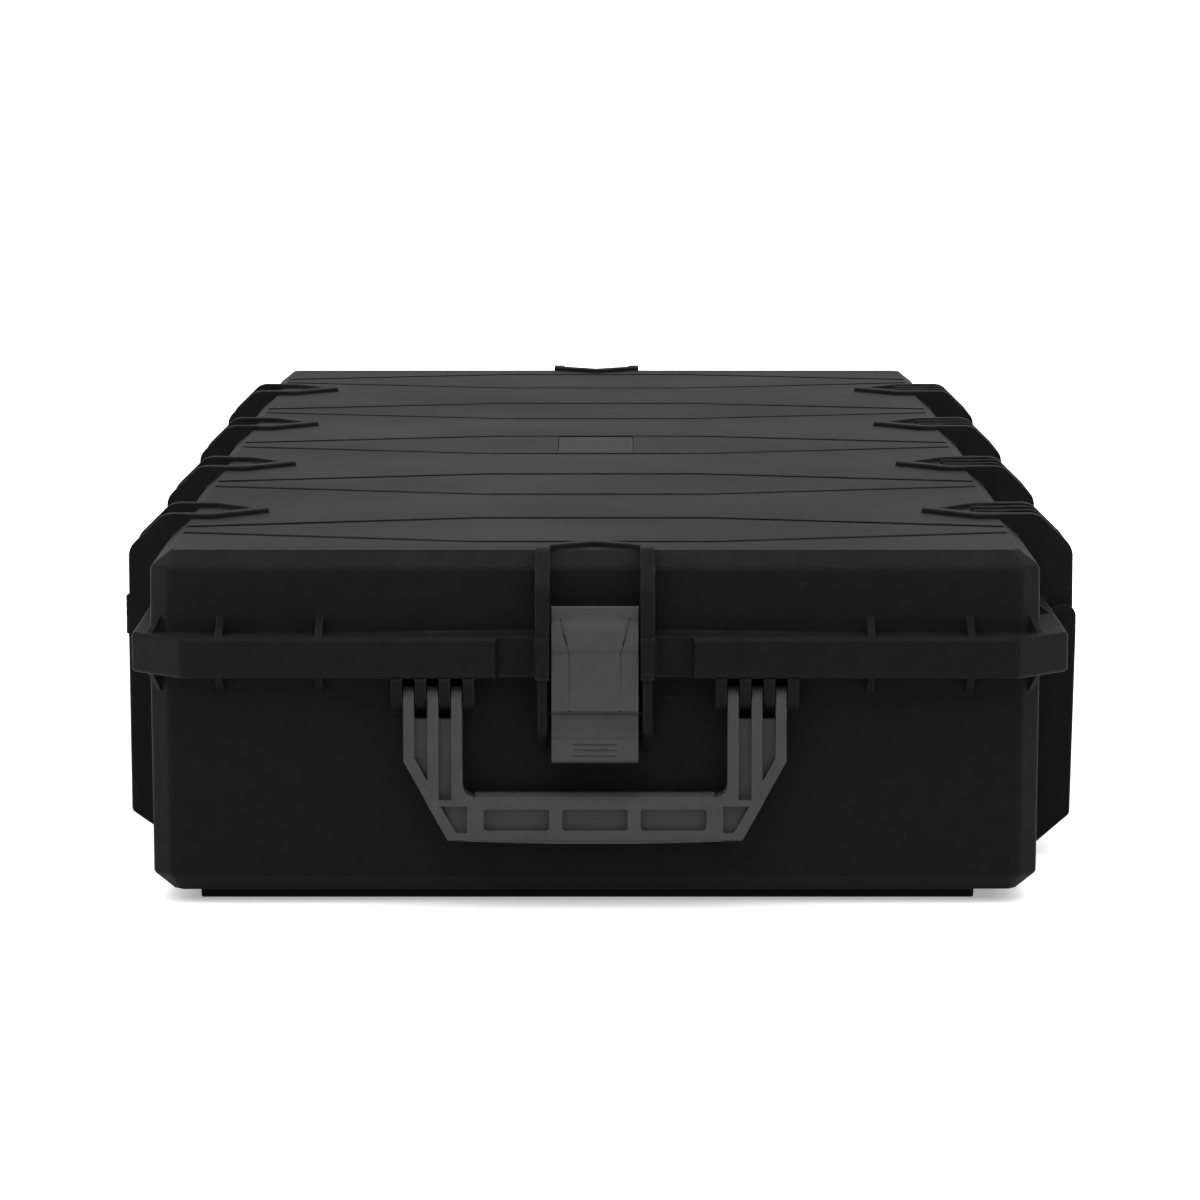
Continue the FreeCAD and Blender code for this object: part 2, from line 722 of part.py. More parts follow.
def latch_lines(body):
    """Shallow lines on a latch's outer face: two that flare upwards, one across and the grip lines."""
    skin = body.cut(body.translated(FreeCAD.Vector(0, latch_line_depth, 0)))
    half = latch_line_width / 2
    split = part_z - latch_split_below_parting
    flat_top = part_z + latch_flat_above_parting
    crease = part_z + latch_crease_above_parting
    panel = outline(front_view, (latch_panel_half - half, split), (latch_panel_half + half, split),
                    (latch_panel_half + half, flat_top), (latch_panel_flare_half + half, crease),
                    (latch_panel_flare_half - half, crease), (latch_panel_half - half, flat_top))
    faces = mirrored([panel])
    faces.append(outline(front_view, (-latch_width, split - half), (latch_width, split - half),
                         (latch_width, split + half), (-latch_width, split + half)))
    first = part_z - latch_bottom_below_parting + latch_grip_above_bottom
    for z in [first + index * latch_grip_pitch for index in range(latch_grip_count)]:
        faces.append(outline(front_view, (-latch_grip_half, z - half), (latch_grip_half, z - half),
                             (latch_grip_half, z + half), (-latch_grip_half, z + half)))
    reach = latch_face_reach - latch_thickness / 2
    out = latch_face_reach + latch_bulge + overrun
    return [skin.common(outwards(face, reach - latch_scoop_depth, out)) for face in faces]


def latch_lug():
    """A lug behind a latch body that takes the toggle pin."""
    radius = toggle_knuckle_radius
    back = latch_face_reach - latch_thickness / 2 - latch_scoop_depth / 2
    profile = outline(side_view, (back, toggle_z - radius), (back, toggle_z + radius / 2),
                      (toggle_t, toggle_z + radius),
                      ((toggle_t - radius, toggle_z), (toggle_t, toggle_z - radius)))
    low = toggle_tongue_half + toggle_side_gap
    return along_wall(profile, low, low + latch_lug_width)


def latch_body():
    """A latch body: hook, face and lip in one moulding, with two lugs behind."""
    plate = along_wall(latch_profile(), -latch_width / 2, latch_width / 2)
    body = plate.cut(latch_lines(plate))
    bore = rod(toggle_t, toggle_z, toggle_pin_radius + running_clearance, -latch_width, latch_width)
    return body.fuse(mirrored([latch_lug()])).cut(bore).removeSplitter()


def toggle_link():
    """The link between the base's pivot and the latch body."""
    barrel = rod(latch_pivot_reach, pivot_z, toggle_barrel_radius, -toggle_half_width, toggle_half_width)
    knuckle = rod(toggle_t, toggle_z, toggle_knuckle_radius, -toggle_tongue_half, toggle_tongue_half)
    dt = math.cos(toggle_lean) * toggle_pin_radius
    dz = math.sin(toggle_lean) * toggle_pin_radius
    web = outline(side_view, (latch_pivot_reach - dt, pivot_z + dz), (latch_pivot_reach + dt, pivot_z - dz),
                  (toggle_t + dt, toggle_z - dz), (toggle_t - dt, toggle_z + dz))
    tongue = along_wall(web, -toggle_tongue_half, toggle_tongue_half)
    room = toggle_knuckle_radius + toggle_side_gap
    low = toggle_tongue_half
    high = low + latch_lug_width + 2 * toggle_side_gap
    notches = mirrored([rod(toggle_t, toggle_z, room, low, high)])
    end = latch_width / 2
    pivot_bore = rod(latch_pivot_reach, pivot_z, latch_pivot_radius + running_clearance, -end, end)
    pin_bore = rod(toggle_t, toggle_z, toggle_pin_radius + running_clearance, -end, end)
    return joined([barrel, knuckle, tongue]).cut(notches + [pivot_bore, pin_bore])


def toggle_pin():
    """The pin that joins a latch body to its link."""
    end = toggle_tongue_half + toggle_side_gap + latch_lug_width
    return rod(toggle_t, toggle_z, toggle_pin_radius, -end, end)


def handle_outline():
    """Front view of a handle: three arms each side, bent in to a bowed grip."""
    top = handle_z + handle_arm_half_thickness
    outer = handle_arm_centre + handle_arm_pitch + handle_arm_width / 2
    inner = handle_arm_centre - handle_arm_pitch - handle_arm_width / 2
    bend = handle_z - handle_bend_drop
    bottom = handle_z - handle_drop
    grip = handle_z - handle_grip_drop
    fillet = handle_inner_round
    swing = fillet * (1 - diagonal_share)
    return outline(
        front_view, (-outer, top), (-outer, bend), (-handle_corner_half, bottom),
        ((0, bottom - handle_bow), (handle_corner_half, bottom)), (outer, bend), (outer, top),
        (inner, top), (inner, grip + fillet), ((inner - swing, grip + swing), (inner - fillet, grip)),
        (fillet - inner, grip), ((swing - inner, grip + swing), (-inner, grip + fillet)), (-inner, top))


def handle_grip_section():
    """Side view of the grip, crowned on top and rounded below."""
    front = handle_axis_reach + handle_grip_half_thickness
    rear = handle_axis_reach - handle_grip_half_thickness
    low = handle_z - handle_drop - handle_bow
    top = handle_z - handle_grip_drop
    edge = handle_grip_round
    swing = edge * (1 - diagonal_share)
    return outline(side_view, (rear, low + edge), ((rear + swing, low + swing), (rear + edge, low)),
                   (front - edge, low), ((front - swing, low + swing), (front, low + edge)),
                   (front, top - edge), ((handle_axis_reach, top + handle_grip_crown), (rear, top - edge)))


def rounded_window(centre):
    """A pocket in the grip with rounded corners."""
    low_z = handle_z - handle_window_drop - handle_window_height / 2
    front = handle_axis_reach + handle_grip_half_thickness
    pocket = block(centre - handle_window_width / 2, centre + handle_window_width / 2,
                   front - handle_pocket_depth, front + overrun, low_z, low_z + handle_window_height)
    corners = [edge for edge in pocket.Edges if abs(edge.tangentAt(edge.FirstParameter).y) > diagonal_share]
    return pocket.makeFillet(handle_window_round, corners)


def handle_pockets():
    """Front recesses on one side of a handle: between the arms and in the bent corner."""
    floor = handle_axis_reach - handle_arm_half_thickness + handle_web_thickness
    out = handle_axis_reach + handle_grip_half_thickness + overrun
    half = handle_arm_width / 2
    gap = handle_arm_pitch - handle_arm_width
    top = handle_z - handle_web_drop
    bend = handle_z - handle_bend_drop
    outer = handle_arm_centre + handle_arm_pitch + half
    slope = (outer - handle_corner_half) / (handle_drop - handle_bend_drop)
    skew = handle_arm_width * math.hypot(1, slope)
    first = handle_arm_centre + half
    second = handle_arm_centre - half - gap
    first_low = bend - (gap + handle_arm_width - skew) / slope
    first_high = bend - (handle_arm_width - skew) / slope
    slot_low = handle_z - handle_pocket_floor_drop
    outer_slot = outline(front_view, (first, top), (first + gap, top), (first + gap, first_high),
                         (first, first_low))
    inner_slot = outline(front_view, (second, top), (second + gap, top), (second + gap, slot_low),
                         (second, slot_low))
    pocket_top = handle_z - handle_corner_pocket_top
    pocket_low = handle_z - handle_corner_pocket_bottom
    edge_top = outer - skew - (handle_corner_pocket_top - handle_bend_drop) * slope
    edge_low = outer - skew - (handle_corner_pocket_bottom - handle_bend_drop) * slope
    corner = outline(front_view, (handle_corner_pocket_inner, pocket_top), (edge_top, pocket_top),
                     (edge_low, pocket_low), (handle_corner_pocket_inner, pocket_low))
    corner_floor = handle_axis_reach + handle_grip_half_thickness - handle_pocket_depth
    pockets = [outwards(slot, floor, out) for slot in (outer_slot, inner_slot)]
    pockets.append(outwards(corner, corner_floor, out))
    return pockets + [block(low, low + gap, -overrun, out, top, part_z) for low in (first, second)]


def handle():
    """A carrying handle, hanging down from its pins."""
    shape = handle_outline()
    rear = handle_axis_reach - handle_arm_half_thickness
    front = handle_axis_reach + handle_arm_half_thickness
    grip_zone = handle_z - handle_grip_drop + handle_grip_crown
    frame = outwards(shape, rear, front)
    outer = handle_arm_centre + handle_arm_pitch + handle_arm_width / 2
    inner = handle_arm_centre - handle_arm_pitch - handle_arm_width / 2
    square = block(-outer, outer, rear, front, handle_z, part_z)
    knuckle = rod(handle_axis_reach, handle_z, handle_arm_half_thickness, inner, outer)
    bar = along_wall(handle_grip_section(), -outer, outer)
    low_shape = outwards(shape, -overrun, handle_axis_reach + handle_grip_half_thickness + overrun)
    crown_room = block(-inner + handle_inner_round, inner - handle_inner_round, -overrun, rim_end_reach,
                       handle_z - handle_grip_drop - overrun, grip_zone)
    grip = bar.common(low_shape.fuse(crown_room))
    body = frame.cut(square).fuse(mirrored([knuckle]) + [grip])
    windows = [rounded_window(step * handle_window_pitch) for step in (-1, 0, 1)]
    end = outer + overrun
    bore = rod(handle_axis_reach, handle_z, handle_pin_radius + running_clearance, -end, end)
    return body.cut(mirrored(handle_pockets()) + windows + [bore]).removeSplitter()


def save(name, shape):
    """Write one node; a list of separate solids becomes one group."""
    solid = Part.makeCompound(shape) if isinstance(shape, list) else shape
    solid.exportStep(f"parts/{name}.step")


def main():
    """Build every piece at its place in the closed case."""
    os.makedirs("parts", exist_ok=True)
    save("base_shell", base_shell())
    save("lid_shell", lid_shell())
    save("lid_seal", lid_seal())
    save("lid_label_plate", lid_label())
    save("hinge_pins", hinge_pins())
    pivot = latch_pivot_rod(latch_pivot_radius, latch_pivot_proud)
    save("latch_pivot_pins", at_stations(pivot, LATCHES.values()))
    body = latch_body()
    link = toggle_link()
    pin = toggle_pin()
    for place, station in LATCHES.items():
        save(f"latch_body_{place}", at_station(body, station))
        save(f"toggle_link_{place}", at_station(link, station))
        save(f"toggle_pin_{place}", at_station(pin, station))
    grip = handle()
    rods = handle_pin_rods(handle_pin_radius, handle_pin_proud)
    for end, station in ENDS.items():
        save(f"handle_{end}", at_station(grip, station))
        save(f"handle_pins_{end}", at_stations(rods[0], [station]) + at_stations(rods[1], [station]))


main()
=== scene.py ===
"""Dress the transport case: rounded mouldings, their finishes, a pale studio floor and the camera."""
import json
import math

import bmesh
import bpy
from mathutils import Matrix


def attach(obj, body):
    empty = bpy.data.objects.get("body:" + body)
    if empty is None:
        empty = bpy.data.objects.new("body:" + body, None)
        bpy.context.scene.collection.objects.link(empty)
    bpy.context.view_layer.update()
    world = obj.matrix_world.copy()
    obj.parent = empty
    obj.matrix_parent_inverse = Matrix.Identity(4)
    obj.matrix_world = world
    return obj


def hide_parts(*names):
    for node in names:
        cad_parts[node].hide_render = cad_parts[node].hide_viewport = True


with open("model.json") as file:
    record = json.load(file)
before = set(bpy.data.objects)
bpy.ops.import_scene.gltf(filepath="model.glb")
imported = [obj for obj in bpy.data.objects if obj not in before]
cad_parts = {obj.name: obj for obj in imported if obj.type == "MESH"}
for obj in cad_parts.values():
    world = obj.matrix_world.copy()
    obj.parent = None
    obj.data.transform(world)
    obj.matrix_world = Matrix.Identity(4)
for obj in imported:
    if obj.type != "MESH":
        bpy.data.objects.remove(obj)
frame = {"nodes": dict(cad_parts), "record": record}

bl_info = {
    "name": "Transport Case Dresser",
    "version": (1, 0, 0),
    "blender": (4, 5, 0),
    "location": "View3D > Sidebar > Case",
    "description": "Rounds the mouldings of a long transport case, gives them finishes and sets the stage",
    "category": "Object",
}

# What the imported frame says
NODES = frame["nodes"]
BODY_OF = {node: body for body, nodes in frame["record"]["behaviour"]["bodies"].items() for node in nodes}
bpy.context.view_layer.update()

# Places, areas and directions closer than this count as the same
MERGE_DISTANCE = 1e-6
NEAR = 0.00005
SAME_AREA = 1e-6
FLAT_ANGLE = math.radians(0.5)
STRAIGHT_ON = math.cos(math.radians(25))

# Rounded edges: how much of a neighbour they may take up, and the least radius worth drawing
HALF_SHARE = 0.42
WHOLE_SHARE = 0.85
LEAST_ROUND = 0.00005
ROUND_PROFILE = 0.5

# Shading: faces past these areas are drawn flat, and larger faces steer the shading at an edge
LARGE_AREA = 1e-3
SMALL_AREA = 5e-5
AREA_WEIGHT = 100

# The planes of the case: its walls from the middle, and heights from the floor
WALL_X = 0.2185
WALL_Y = 0.531
BOTTOM_Z = 0.006
PARTING_Z = 0.1243
GROOVE_FLOOR_Z = 0.1734
TOP_Z = 0.175

# The rim: half its height, how far it stands out from the wall, and the heights that hold its lower edge
RIM_HALF = 0.011
RIM_REACH = 0.020
RIM_EDGE_Z = (0.1133, 0.1156)

# The rim's step beside each end latch: the least it stands out, where its slant starts and how long that is
SETBACK_REACH = 0.012
SETBACK_HALF = 0.047
SETBACK_SLANT = 0.008

# The chamfer round the underside, and how far its faces look down
CHAMFER_RISE = 0.0115
CHAMFER_RUN = 0.011
CHAMFER_DIP = -CHAMFER_RUN / math.hypot(CHAMFER_RUN, CHAMFER_RISE)
DIP_SPREAD = 0.02

# The base ribs of the side latches: how far their outer edges stand from the wall, and where they end
RIB_EDGE_REACH = (0.018, 0.0225)
RIB_TOP_Z = PARTING_Z - RIM_HALF + 2 * NEAR

# The lid's ribs: their height over the lid and at their point, and where they pass the lid's edge
CROWN_RISE = 0.0037
TIP_RISE = 0.0016
LID_EDGE_REACH = -0.010

# The elbows of those ribs, each by its reach from the wall and its height
ELBOWS = ((0.0224, 0.1598), (0.0281, 0.1600))
ELBOW_SPREAD = 0.0003
ELBOW_STEPS = 6

# The line across a latch's face, by its heights and its reach from the wall
CROSS_LINE_Z = (0.0985, 0.0995)
CROSS_LINE_REACH = (0.0185, 0.0204)

# Two corners of a groove's floor that are this close along the groove face each other across it
GROOVE_END = 0.002

# Each plastic's roughness, its shine, and its grain as a share of the shell's
PLASTICS = {
    "shell_black": (0.64, 0.06, 1.0),
    "fitting_grey": (0.46, 0.25, 0.7),
    "link_black": (0.5, 0.2, 0.7),
    "label_black": (0.6, 0.07, 0.7),
}
PLASTIC_IOR = 1.5

# Marks in the plastic: their sizes, and how deep they stand as lengths or as shares of the grain
FLOW_SIZE = 0.16
FLOW_DEPTH = 0.002
MOTTLE_SIZE = 0.011
SCRATCH_SIZE = 0.0022
SCRATCH_STRETCH = (0.25, 1.0, 1.0)
SCRATCH_TURN = (0.3, 0.2, 0.7)
COARSE_GRAIN = 3.5
COARSE_DEPTH = 0.8
FINE_DEPTH = 0.35

# The part of a noise's range in which each mark comes and goes
MIDDLE_SPAN = (0.3, 0.7)
SCRATCH_SPAN = (0.62, 0.72)
PATCH_SPAN = (0.42, 0.62)
RUB_SPAN = (0.38, 0.66)

# Wear: shades of the mottle, the grey that worn plastic turns to, and how far rubbing and scuffs go
MOTTLE_SHADES = (0.86, 1.14)
WORN_GREY = 0.16
WORN_SHARE = 0.4
RUB_SHARE = (0.15, 1.0)
RUB_POLISH = 0.12
SCUFF_SHARE = 0.12
ROUGHNESS_SWING = 0.05

# An edge shows where the rounded and the plain surface part by this much, away from the parting plane
EDGE_SAMPLES = 4
EDGE_SPAN = (0.995, 0.86)
PARTING_SPAN = (0.002, 0.004)

# Steel rod: its die lines and dull spots
DIE_LINE_SIZE = 0.0004
DIE_LINE_STRETCH = 0.02
DIE_LINE_DEPTH = 0.00005
DIE_LINE_SPAN = (0.35, 0.65)
DIE_LINE_SHADE = 0.72
STEEL_ROUGHNESS = (0.24, 0.40)
SPOT_SIZE = 0.006
SPOT_SPAN = (0.5, 0.75)
SPOT_ROUGHNESS = (0.0, 0.18)

# Seal cord: its pale bloom and its skin
BLOOM_SIZE = 0.018
BLOOM_SPAN = (0.4, 0.75)
BLOOM_SHARE = 0.15
SKIN_SIZE = 0.0008
SKIN_DEPTH = 0.0003
SEAL_ROUGHNESS = (0.68, 0.84)

# Stage: clouds in the floor's paint, its own faint light, and the heights between which the sky brightens
CLOUD_SIZE = 0.9
CLOUD_LIFT = 1.03
FLOOR_GLOW = 0.35
SKY_SPAN = (0.3, 1.0)
WHITE = (1.0, 1.0, 1.0, 1.0)


class CaseEdges(bpy.types.PropertyGroup):
    """How the moulded edges are rounded."""

    shell_round: bpy.props.FloatProperty(
        name="Shell edges", description="Radius of the edges of the lid and the base",
        default=0.0015, min=0.0, precision=4, unit="LENGTH")
    fitting_round: bpy.props.FloatProperty(
        name="Fitting edges", description="Radius of the edges of the latches and handles",
        default=0.0007, min=0.0, precision=4, unit="LENGTH")
    label_round: bpy.props.FloatProperty(
        name="Label edges", description="Radius of the edges of the bare label plate",
        default=0.0003, min=0.0, precision=4, unit="LENGTH")
    steps: bpy.props.IntProperty(
        name="Steps", description="Faces across each rounded edge", default=3, min=1, max=6)
    sharp_angle: bpy.props.FloatProperty(
        name="Sharp angle", description="Edges that turn by more than this are rounded",
        default=math.radians(24), subtype="ANGLE")


class CaseForms(bpy.types.PropertyGroup):
    """Small forms of the shells and latches that the photo shows finer than the solids."""

    groove_deeper: bpy.props.FloatProperty(
        name="Deeper grooves", description="How much deeper the lid's grooves are cut",
        default=0.0008, min=0.0, precision=4, unit="LENGTH")
    groove_wider: bpy.props.FloatProperty(
        name="Wider grooves", description="How much each side of a groove moves out",
        default=0.0010, min=0.0, precision=4, unit="LENGTH")
    setback_slant: bpy.props.FloatProperty(
        name="Setback slant", description="Run of the rim's step beside an end latch",
        default=0.0016, min=0.0, precision=4, unit="LENGTH")
    chamfer_rise: bpy.props.FloatProperty(
        name="Chamfer rise", description="Height of the chamfer under the base",
        default=0.0090, min=0.0, precision=4, unit="LENGTH")
    chamfer_run: bpy.props.FloatProperty(
        name="Chamfer run", description="Depth of the chamfer under the base",
        default=0.0100, min=0.0, precision=4, unit="LENGTH")
    rib_crown: bpy.props.FloatProperty(
        name="Rib crown", description="Height of the lid's ribs over the lid",
        default=0.0026, min=0.0, precision=4, unit="LENGTH")
    rib_tip: bpy.props.FloatProperty(
        name="Rib tip", description="Height of the lid's ribs at their point",
        default=0.0024, min=0.0, precision=4, unit="LENGTH")
    elbow_round: bpy.props.FloatProperty(
        name="Rib elbows", description="How far the elbows of the lid's ribs are rounded",
        default=0.0035, min=0.0, precision=4, unit="LENGTH")
    rim_lift: bpy.props.FloatProperty(
        name="Rim lift", description="How much higher the rim's lower edge is",
        default=0.00185, min=0.0, precision=5, unit="LENGTH")
    line_fill: bpy.props.FloatProperty(
        name="Latch line", description="How far the line across a latch is filled",
        default=0.00052, min=0.0, precision=5, unit="LENGTH")
    rib_further: bpy.props.FloatProperty(
        name="Rib reach", description="How much further the base ribs of the side latches reach",
        default=0.0015, min=0.0, precision=4, unit="LENGTH")


class CaseFinishes(bpy.types.PropertyGroup):
    """Colours and surface detail of the materials."""

    shell_colour: bpy.props.FloatVectorProperty(
        name="Shell", description="Moulded lid and base",
        default=(0.0075, 0.0075, 0.0078), min=0.0, max=1.0, subtype="COLOR")
    fitting_colour: bpy.props.FloatVectorProperty(
        name="Fittings", description="Latches and handles",
        default=(0.039, 0.039, 0.040), min=0.0, max=1.0, subtype="COLOR")
    link_colour: bpy.props.FloatVectorProperty(
        name="Links", description="Toggle links behind the latches",
        default=(0.012, 0.012, 0.012), min=0.0, max=1.0, subtype="COLOR")
    label_colour: bpy.props.FloatVectorProperty(
        name="Label", description="Bare plate on the lid",
        default=(0.0085, 0.0085, 0.0088), min=0.0, max=1.0, subtype="COLOR")
    seal_colour: bpy.props.FloatVectorProperty(
        name="Seal", description="Rubber cord in the lid",
        default=(0.015, 0.015, 0.015), min=0.0, max=1.0, subtype="COLOR")
    steel_colour: bpy.props.FloatVectorProperty(
        name="Pins", description="Blackened steel pins",
        default=(0.006, 0.006, 0.0063), min=0.0, max=1.0, subtype="COLOR")
    grain: bpy.props.FloatProperty(
        name="Grain", description="Size of the moulded grain",
        default=0.0006, min=0.0, precision=5, unit="LENGTH")
    wear: bpy.props.FloatProperty(
        name="Edge wear", description="How far the rubbed edges turn pale",
        default=0.25, min=0.0, max=1.0, subtype="FACTOR")
    wear_width: bpy.props.FloatProperty(
        name="Wear width", description="How far wear reaches from an edge",
        default=0.0016, min=0.0, precision=4, unit="LENGTH")


class CaseStage(bpy.types.PropertyGroup):
    """Floor, light and camera."""

    floor_colour: bpy.props.FloatVectorProperty(
        name="Floor", description="Colour of the floor",
        default=(0.86, 0.86, 0.86), min=0.0, max=1.0, subtype="COLOR")
    floor_bounce: bpy.props.FloatProperty(
        name="Floor bounce", description="Share of its light that the floor throws onto the case",
        default=0.4, min=0.0, max=1.0, subtype="FACTOR")
    floor_size: bpy.props.FloatProperty(
        name="Floor size", description="Side of the square floor", default=60.0, min=1.0, unit="LENGTH")
    zenith: bpy.props.FloatProperty(
        name="Overhead light", description="Brightness of the sky overhead", default=3.5, min=0.0)
    horizon: bpy.props.FloatProperty(
        name="Side light", description="Brightness of the sky at the horizon", default=0.34, min=0.0)
    camera_place: bpy.props.FloatVectorProperty(
        name="Camera place", description="Where the camera stands",
        default=(0.00245, -3.0187, 0.4744), subtype="TRANSLATION", unit="LENGTH")
    camera_tilt: bpy.props.FloatProperty(
        name="Camera tilt", description="How far the camera looks down",
        default=math.radians(7.396), subtype="ANGLE")
    lens: bpy.props.FloatProperty(
        name="Lens", description="Focal length in millimetres", default=154.05, min=1.0, unit="CAMERA")
    sensor: bpy.props.FloatProperty(
        name="Sensor", description="Sensor width in millimetres", default=36.0, min=1.0, unit="CAMERA")


def add_node(tree, kind, settings=None, values=None):
    """A shader node with its settings and the constants on its sockets."""
    node = tree.nodes.new(kind)
    for name, value in (settings or {}).items():
        setattr(node, name, value)
    for name, value in (values or {}).items():
        node.inputs[name].default_value = value
    return node


def new_material(name):
    """An empty node material, its tree and the place on the piece."""
    material = bpy.data.materials.new(name)
    material.use_nodes = True
    tree = material.node_tree
    tree.nodes.clear()
    return material, tree, add_node(tree, "ShaderNodeTexCoord").outputs["Object"]


def shader_output(tree, shader):
    """Join a shader to the material's output."""
    output = add_node(tree, "ShaderNodeOutputMaterial")
    tree.links.new(shader.outputs[0], output.inputs["Surface"])


def noise(tree, vector, size, detail=2.0, roughness=0.5):
    """Noise whose features have a given size."""
    texture = add_node(tree, "ShaderNodeTexNoise", values={
        "Scale": 1.0 / size, "Detail": detail, "Roughness": roughness})
    tree.links.new(vector, texture.inputs["Vector"])
    return texture.outputs["Fac"]


def remap(tree, value, span, onto=(0.0, 1.0)):
    """A value stretched from one span onto another and held inside it."""
    stretch = add_node(tree, "ShaderNodeMapRange", {"clamp": True}, {
        "From Min": span[0], "From Max": span[1], "To Min": onto[0], "To Max": onto[1]})
    tree.links.new(value, stretch.inputs["Value"])
    return stretch.outputs["Result"]


def combine(tree, operation, first, second=0.0):
    """Two values, sockets or constants, joined by arithmetic."""
    sums = add_node(tree, "ShaderNodeMath", {"operation": operation})
    for value, socket in zip((first, second), sums.inputs):
        if isinstance(value, bpy.types.NodeSocket):
            tree.links.new(value, socket)
        else:
            socket.default_value = value
    return sums.outputs["Value"]


def tint(tree, factor, plain, other):
    """A colour that turns from one to another by a factor."""
    mix = add_node(tree, "ShaderNodeMix", {"data_type": "RGBA"})
    tree.links.new(factor, mix.inputs["Factor"])
    for colour, name in ((plain, "A_Color"), (other, "B_Color")):
        socket = next(item for item in mix.inputs if item.identifier == name)
        if isinstance(colour, bpy.types.NodeSocket):
            tree.links.new(colour, socket)
        else:
            socket.default_value = (*colour, 1.0)
    return next(item for item in mix.outputs if item.identifier == "Result_Color")


def bump(tree, height, strength, distance, normal=None):
    """Raise the surface by a height, on top of an earlier bump."""
    relief = add_node(tree, "ShaderNodeBump", values={"Strength": strength, "Distance": distance})
    tree.links.new(height, relief.inputs["Height"])
    if normal:
        tree.links.new(normal, relief.inputs["Normal"])
    return relief.outputs["Normal"]


def surface(tree, colour, roughness, normal, values):
    """Finish a material from its colour, its roughness, its relief and its constants."""
    shader = add_node(tree, "ShaderNodeBsdfPrincipled", values=values)
    tree.links.new(colour, shader.inputs["Base Color"])
    tree.links.new(roughness, shader.inputs["Roughness"])
    tree.links.new(normal, shader.inputs["Normal"])
    shader_output(tree, shader)


def shaded(colour, share):
    """A colour made darker or lighter."""
    return tuple(channel * share for channel in colour)


def paler(colour, amount):
    """A colour moved towards a worn grey."""
    return tuple(channel + amount * (WORN_GREY - channel) for channel in colour)


def edge_mask(tree, width):
    """One on convex and concave edges, fading to nothing on flat faces."""
    rounded = add_node(tree, "ShaderNodeBevel", {"samples": EDGE_SAMPLES}, {"Radius": width})
    plain = add_node(tree, "ShaderNodeNewGeometry")
    compare = add_node(tree, "ShaderNodeVectorMath", {"operation": "DOT_PRODUCT"})
    tree.links.new(rounded.outputs["Normal"], compare.inputs[0])
    tree.links.new(plain.outputs["Normal"], compare.inputs[1])
    return remap(tree, compare.outputs["Value"], EDGE_SPAN)


def off_parting(tree, place):
    """Nothing along the plane where lid and base meet, one a little away from it."""
    split = add_node(tree, "ShaderNodeSeparateXYZ")
    tree.links.new(place, split.inputs["Vector"])
    height = combine(tree, "SUBTRACT", split.outputs["Z"], PARTING_Z)
    return remap(tree, combine(tree, "ABSOLUTE", height), PARTING_SPAN)


def rubbed_edges(tree, place, mottle, finish):
    """Edges that handling has rubbed pale in patches."""
    patches = remap(tree, mottle, RUB_SPAN, RUB_SHARE)
    edges = combine(tree, "MULTIPLY", edge_mask(tree, finish.wear_width), patches)
    return combine(tree, "MULTIPLY", combine(tree, "MULTIPLY", edges, off_parting(tree, place)), finish.wear)


def scuffs(tree, place, flow):
    """Faint scratches, all in one direction and in patches."""
    turned = add_node(tree, "ShaderNodeMapping", values={"Scale": SCRATCH_STRETCH, "Rotation": SCRATCH_TURN})
    tree.links.new(place, turned.inputs["Vector"])
    scratch = noise(tree, turned.outputs["Vector"], SCRATCH_SIZE, detail=5.0, roughness=0.62)
    return combine(tree, "MULTIPLY", remap(tree, scratch, SCRATCH_SPAN), remap(tree, flow, PATCH_SPAN))


def moulded_plastic(name, colour, finish):
    """Grained moulding with flow marks, faint scuffs and rubbed edges."""
    roughness, shine, grain_share = PLASTICS[name]
    grain = finish.grain * grain_share
    material, tree, place = new_material(name)
    flow = noise(tree, place, FLOW_SIZE, detail=3.0)
    mottle = noise(tree, place, MOTTLE_SIZE, detail=4.0, roughness=0.6)
    rubbed = rubbed_edges(tree, place, mottle, finish)
    scuffed = combine(tree, "MULTIPLY", scuffs(tree, place, flow), SCUFF_SHARE)
    darker, lighter = (shaded(colour, share) for share in MOTTLE_SHADES)
    clean = tint(tree, remap(tree, mottle, MIDDLE_SPAN), darker, lighter)
    worn = tint(tree, combine(tree, "MAXIMUM", rubbed, scuffed), clean, paler(colour, WORN_SHARE))
    dull = remap(tree, flow, MIDDLE_SPAN, (roughness - ROUGHNESS_SWING, roughness + ROUGHNESS_SWING))
    polished = combine(tree, "SUBTRACT", dull, combine(tree, "MULTIPLY", rubbed, RUB_POLISH))
    fine = noise(tree, place, grain)
    coarse = noise(tree, place, grain * COARSE_GRAIN, detail=1.0)
    normal = bump(tree, fine, strength=0.22, distance=grain * FINE_DEPTH)
    normal = bump(tree, coarse, strength=0.12, distance=grain * COARSE_DEPTH, normal=normal)
    normal = bump(tree, flow, strength=0.05, distance=FLOW_DEPTH, normal=normal)
    surface(tree, worn, polished, normal, {"Specular IOR Level": shine, "IOR": PLASTIC_IOR})
    return material


